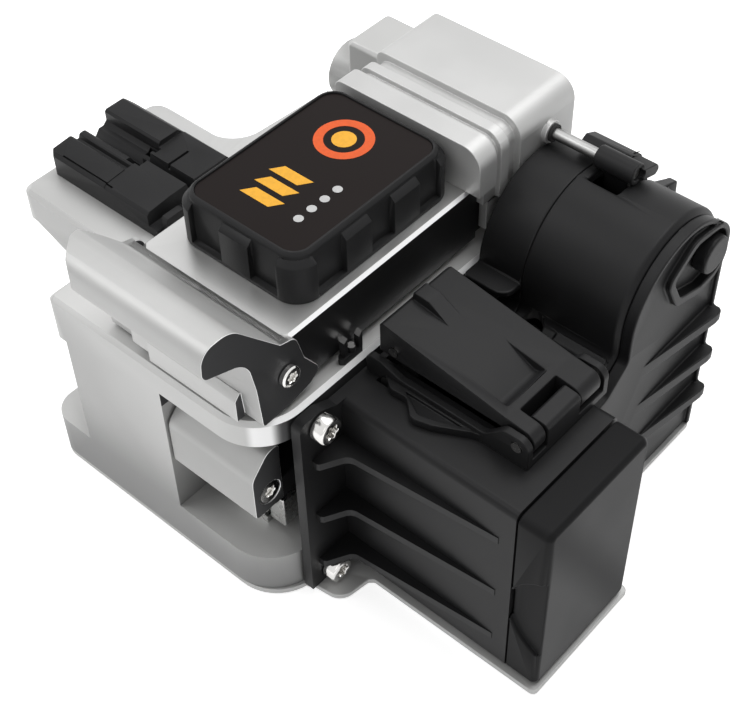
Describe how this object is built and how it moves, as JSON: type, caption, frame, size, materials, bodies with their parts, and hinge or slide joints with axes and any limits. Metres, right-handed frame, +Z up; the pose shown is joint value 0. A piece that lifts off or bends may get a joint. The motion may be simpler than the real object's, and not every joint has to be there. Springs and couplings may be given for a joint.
{
  "type": "fibre cleaver",
  "caption": "Bench-top optical fibre cleaver: hinged clamp lever over a sliding scoring blade, fibre adapter at the left and a roller-fed offcut bin at the right",
  "frame": {"origin": "middle of the footprint box at the bottom of the rubber feet", "axes": "+X along the fibre from the adapter to the offcut bin, +Y from the finger side to the lever hinge, +Z up"},
  "size_m": [0.1084, 0.0825, 0.0647],
  "materials": {
    "aluminium_frame": "satin",
    "black_plastic": "matte",
    "label_plate": "gloss",
    "adapter_metal": "satin",
    "rubber": "matte",
    "steel": "satin",
    "bright_steel": "polished",
    "carbide": "polished"
  },
  "bodies": {
    "base": {"base_frame": "aluminium_frame", "bottom_plate": "aluminium_frame", "rubber_feet": "rubber", "bottom_plate_screws": "bright_steel", "magnet_keeper": "steel", "lower_clamp_left": "rubber", "lower_clamp_right": "rubber", "tail_guide": "black_plastic", "slide_rail": "steel", "rail_screws": "bright_steel", "carriage_spring": "steel", "hinge_bracket": "aluminium_frame", "hinge_post": "aluminium_frame", "lever_axle": "steel", "lever_spring": "steel", "fibre_adapter": "adapter_metal", "adapter_screws": "bright_steel", "collector_front_housing": "black_plastic", "collector_main_housing": "black_plastic", "collector_end_cover": "black_plastic", "housing_screw": "bright_steel", "roller_bracket": "black_plastic", "flap_hinge_pin": "steel", "bin_shell": "black_plastic", "flange_screws": "bright_steel"},
    "carriage": {"slide_block": "aluminium_frame", "blade_carriage": "adapter_metal", "blade_axle_screw": "bright_steel", "push_bar": "aluminium_frame", "push_bar_screw": "bright_steel"},
    "blade": {"blade_wheel": "carbide"},
    "lever": {"lever_plate": "aluminium_frame", "rear_cover": "aluminium_frame", "press_cap": "black_plastic", "cap_badge": "label_plate", "cap_screws": "bright_steel", "cover_screws": "bright_steel", "upper_clamp_left": "rubber", "upper_clamp_right": "rubber", "closing_magnet": "steel", "anvil_spring": "steel", "drive_rod": "bright_steel", "rod_seal": "rubber", "latch_screws": "bright_steel"},
    "anvil": {"anvil": "steel"},
    "latch": {"latch_lip": "aluminium_frame"},
    "arm": {"drive_arm": "black_plastic"},
    "feed": {"feed_shaft": "steel", "feed_knob": "black_plastic"},
    "transfer": {"transfer_gear": "black_plastic"},
    "lower_roller": {"lower_roller": "rubber"},
    "flap": {"roller_flap": "black_plastic", "upper_roller_pin": "steel"},
    "upper_roller": {"upper_roller": "rubber"},
    "drawer": {"bin_drawer": "black_plastic"}
  },
  "joints": [
    {"name": "lever_hinge", "type": "hinge", "parent": "base", "child": "lever", "pos_m": [-0.00285, 0.035, 0.0455], "axis": [-1, 0, 0], "range_deg": [0, 65], "deforming": ["lever_spring"]},
    {"name": "carriage_slide", "type": "slide", "parent": "base", "child": "carriage", "axis": [0, 1, 0], "range_m": [0, 0.014], "stiffness_N_per_m": 60, "springref_m": -0.002, "deforming": ["carriage_spring"]},
    {"name": "blade_index", "type": "hinge", "parent": "carriage", "child": "blade", "pos_m": [-0.00335, -0.017, 0.0333], "axis": [1, 0, 0], "continuous": true},
    {"name": "anvil_press", "type": "slide", "parent": "lever", "child": "anvil", "axis": [0, 0, 1], "range_m": [0, 0.0006], "stiffness_N_per_m": 300, "springref_m": -0.0005, "deforming": ["anvil_spring"]},
    {"name": "latch_hinge", "type": "hinge", "parent": "lever", "child": "latch", "pos_m": [-0.00285, -0.0266, 0.049], "axis": [-1, 0, 0], "range_deg": [0, 8], "stiffness_Nm_per_rad": 0.3, "springref_deg": -1.15},
    {"name": "arm_swing", "type": "hinge", "parent": "base", "child": "arm", "pos_m": [0.02715, 0.035, 0.0455], "axis": [-1, 0, 0], "range_deg": [0, 65]},
    {"name": "feed_turn", "type": "hinge", "parent": "base", "child": "feed", "pos_m": [0.03415, 0.035, 0.0455], "axis": [1, 0, 0], "continuous": true},
    {"name": "transfer_turn", "type": "hinge", "parent": "base", "child": "transfer", "pos_m": [0.03415, 0.027, 0.0392], "axis": [1, 0, 0], "continuous": true},
    {"name": "lower_roller_turn", "type": "hinge", "parent": "base", "child": "lower_roller", "pos_m": [0.01875, -0.003, 0.0392], "axis": [0, 1, 0], "continuous": true},
    {"name": "flap_hinge", "type": "hinge", "parent": "base", "child": "flap", "pos_m": [0.04215, -0.003, 0.0431], "axis": [0, 1, 0], "range_deg": [0, 100]},
    {"name": "upper_roller_turn", "type": "hinge", "parent": "flap", "child": "upper_roller", "pos_m": [0.01875, -0.003, 0.0447], "axis": [0, 1, 0], "continuous": true},
    {"name": "drawer_slide", "type": "slide", "parent": "base", "child": "drawer", "axis": [1, 0, 0], "range_m": [0, 0.03]}
  ],
  "couplings": [
    {"joint": "arm_swing", "follows": "lever_hinge", "ratio": 1},
    {"joint": "transfer_turn", "follows": "feed_turn", "ratio": -0.5},
    {"joint": "lower_roller_turn", "follows": "feed_turn", "ratio": -0.5},
    {"joint": "upper_roller_turn", "follows": "feed_turn", "ratio": 0.68182}
  ]
}
